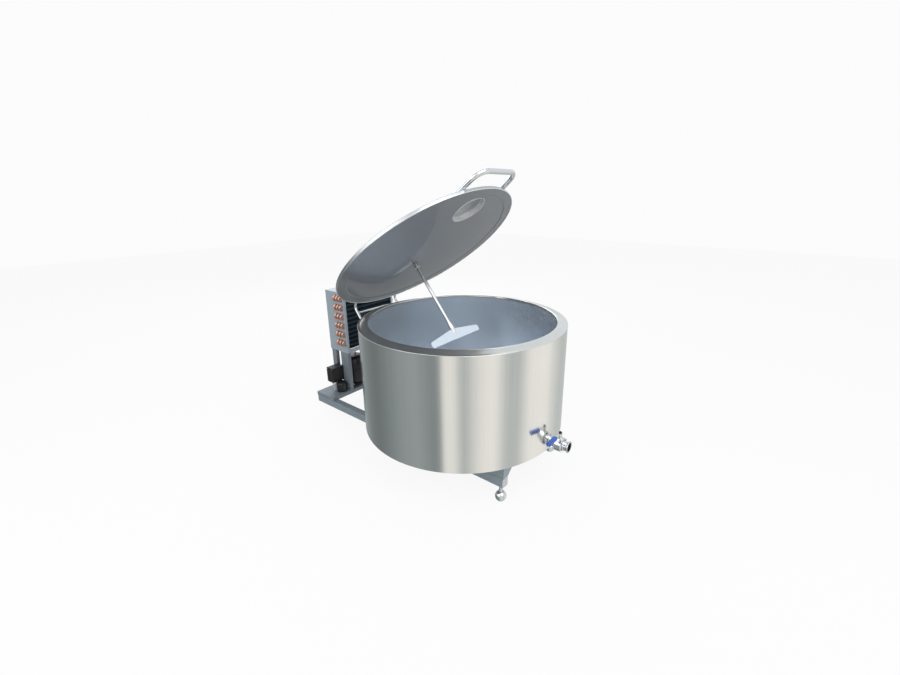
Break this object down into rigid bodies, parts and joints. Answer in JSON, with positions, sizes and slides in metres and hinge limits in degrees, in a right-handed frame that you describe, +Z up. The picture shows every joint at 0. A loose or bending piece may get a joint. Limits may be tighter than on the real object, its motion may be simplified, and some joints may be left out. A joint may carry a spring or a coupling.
{
  "type": "milk cooling tank",
  "caption": "Round open-topped cooling tank on a levelled frame, with a hinged lid, stirrer, outlet valve and a condensing unit behind.",
  "frame": {"origin": "centre of the bounding box at floor level", "axes": "+Z up, +Y from the outlet valve towards the condensing unit, +X to the right seen from the outlet"},
  "size_m": [1.2, 1.84, 1.6672],
  "materials": {
    "shell_steel": "vertical brushed stainless steel",
    "vessel_steel": "satin stainless steel",
    "lid_steel": "satin stainless steel",
    "bright_steel": "polished stainless steel",
    "frame_steel": "blue-grey steel",
    "cap_plastic": "white end cap",
    "foot_chrome": "polished foot",
    "foam": "rigid insulation foam",
    "galvanised": "galvanised sheet",
    "fin_metal": "dark coated fins",
    "copper": "copper tube",
    "black_metal": "black enamel",
    "black_plastic": "black plastic",
    "black_rubber": "black rubber",
    "seat_rubber": "grey rubber",
    "drive_paint": "grey enamel",
    "blue_grip": "blue grip",
    "cable_white": "white cable"
  },
  "bodies": {
    "tank": {"outer_shell": "shell_steel", "top_rim": "bright_steel", "inner_vessel": "vessel_steel", "wall_insulation": "foam", "floor_insulation": "foam", "evaporator": "vessel_steel", "bottom_pan": "shell_steel", "outlet_pipe": "bright_steel", "valve_body": "bright_steel", "valve_seat": "seat_rubber", "valve_bolts": "bright_steel", "outlet_ferrule": "bright_steel", "left_beam": "frame_steel", "right_beam": "frame_steel", "beam_end_caps": "cap_plastic", "cross_tubes": "frame_steel", "saddles": "frame_steel", "foot_sockets": "foot_chrome", "hinge_lugs": "bright_steel", "hinge_pins": "bright_steel", "base_pan": "galvanised", "coil_posts": "galvanised", "coil_rails": "galvanised", "coil_end_plates": "galvanised", "coil_fins": "fin_metal", "coil_tubes": "copper", "fan_shroud": "galvanised", "fan_guard": "black_metal", "fan_motor": "black_metal", "compressor": "black_metal", "compressor_mounts": "black_rubber", "terminal_cover": "black_plastic", "liquid_receiver": "black_metal", "refrigerant_pipes": "copper", "control_box": "black_plastic", "control_box_cover": "black_plastic", "cable_glands": "black_plastic", "control_cables": "cable_white"},
    "lid": {"lid_shell": "lid_steel", "lid_liner": "lid_steel", "hatch_collar": "bright_steel", "lid_handle": "bright_steel", "hinge_frame": "bright_steel", "gearbox": "drive_paint", "gear_motor": "drive_paint"},
    "hatch": {"hatch_cover": "lid_steel", "hatch_knob": "black_plastic"},
    "agitator": {"agitator_shaft": "bright_steel", "shaft_coupling": "bright_steel", "agitator_hub": "bright_steel", "agitator_blade": "bright_steel"},
    "valve_spindle": {"valve_disc": "bright_steel", "valve_lever": "bright_steel", "valve_grip": "blue_grip"},
    "fan": {"fan_rotor": "black_metal"},
    "foot_front_left": {"foot_front_left": "foot_chrome"},
    "foot_front_right": {"foot_front_right": "foot_chrome"},
    "foot_rear_left": {"foot_rear_left": "foot_chrome"},
    "foot_rear_right": {"foot_rear_right": "foot_chrome"}
  },
  "joints": [
    {"name": "lid_hinge", "type": "hinge", "parent": "tank", "child": "lid", "pos_m": [0, 0.432, 0.663], "axis": [-1, 0, 0], "range_deg": [-38.3, 0]},
    {"name": "agitator_spin", "type": "hinge", "parent": "lid", "child": "agitator", "pos_m": [0, 0.1703, 1.1529], "axis": [0, 0.6198, 0.7848], "continuous": true},
    {"name": "hatch_hinge", "type": "hinge", "parent": "lid", "child": "hatch", "pos_m": [0, -0.13694, 1.41087], "axis": [-1, 0, 0], "range_deg": [0, 95]},
    {"name": "valve_turn", "type": "hinge", "parent": "tank", "child": "valve_spindle", "pos_m": [0, -0.865, 0.264], "axis": [0, 0, 1], "range_deg": [0, 90]},
    {"name": "fan_spin", "type": "hinge", "parent": "tank", "child": "fan", "pos_m": [0.0775, 0.85, 0.693], "axis": [0, 1, 0], "continuous": true},
    {"name": "foot_front_left_screw", "type": "slide", "parent": "tank", "child": "foot_front_left", "axis": [0, 0, -1], "range_m": [0, 0.025]},
    {"name": "foot_front_right_screw", "type": "slide", "parent": "tank", "child": "foot_front_right", "axis": [0, 0, -1], "range_m": [0, 0.025]},
    {"name": "foot_rear_left_screw", "type": "slide", "parent": "tank", "child": "foot_rear_left", "axis": [0, 0, -1], "range_m": [0, 0.025]},
    {"name": "foot_rear_right_screw", "type": "slide", "parent": "tank", "child": "foot_rear_right", "axis": [0, 0, -1], "range_m": [0, 0.025]}
  ]
}
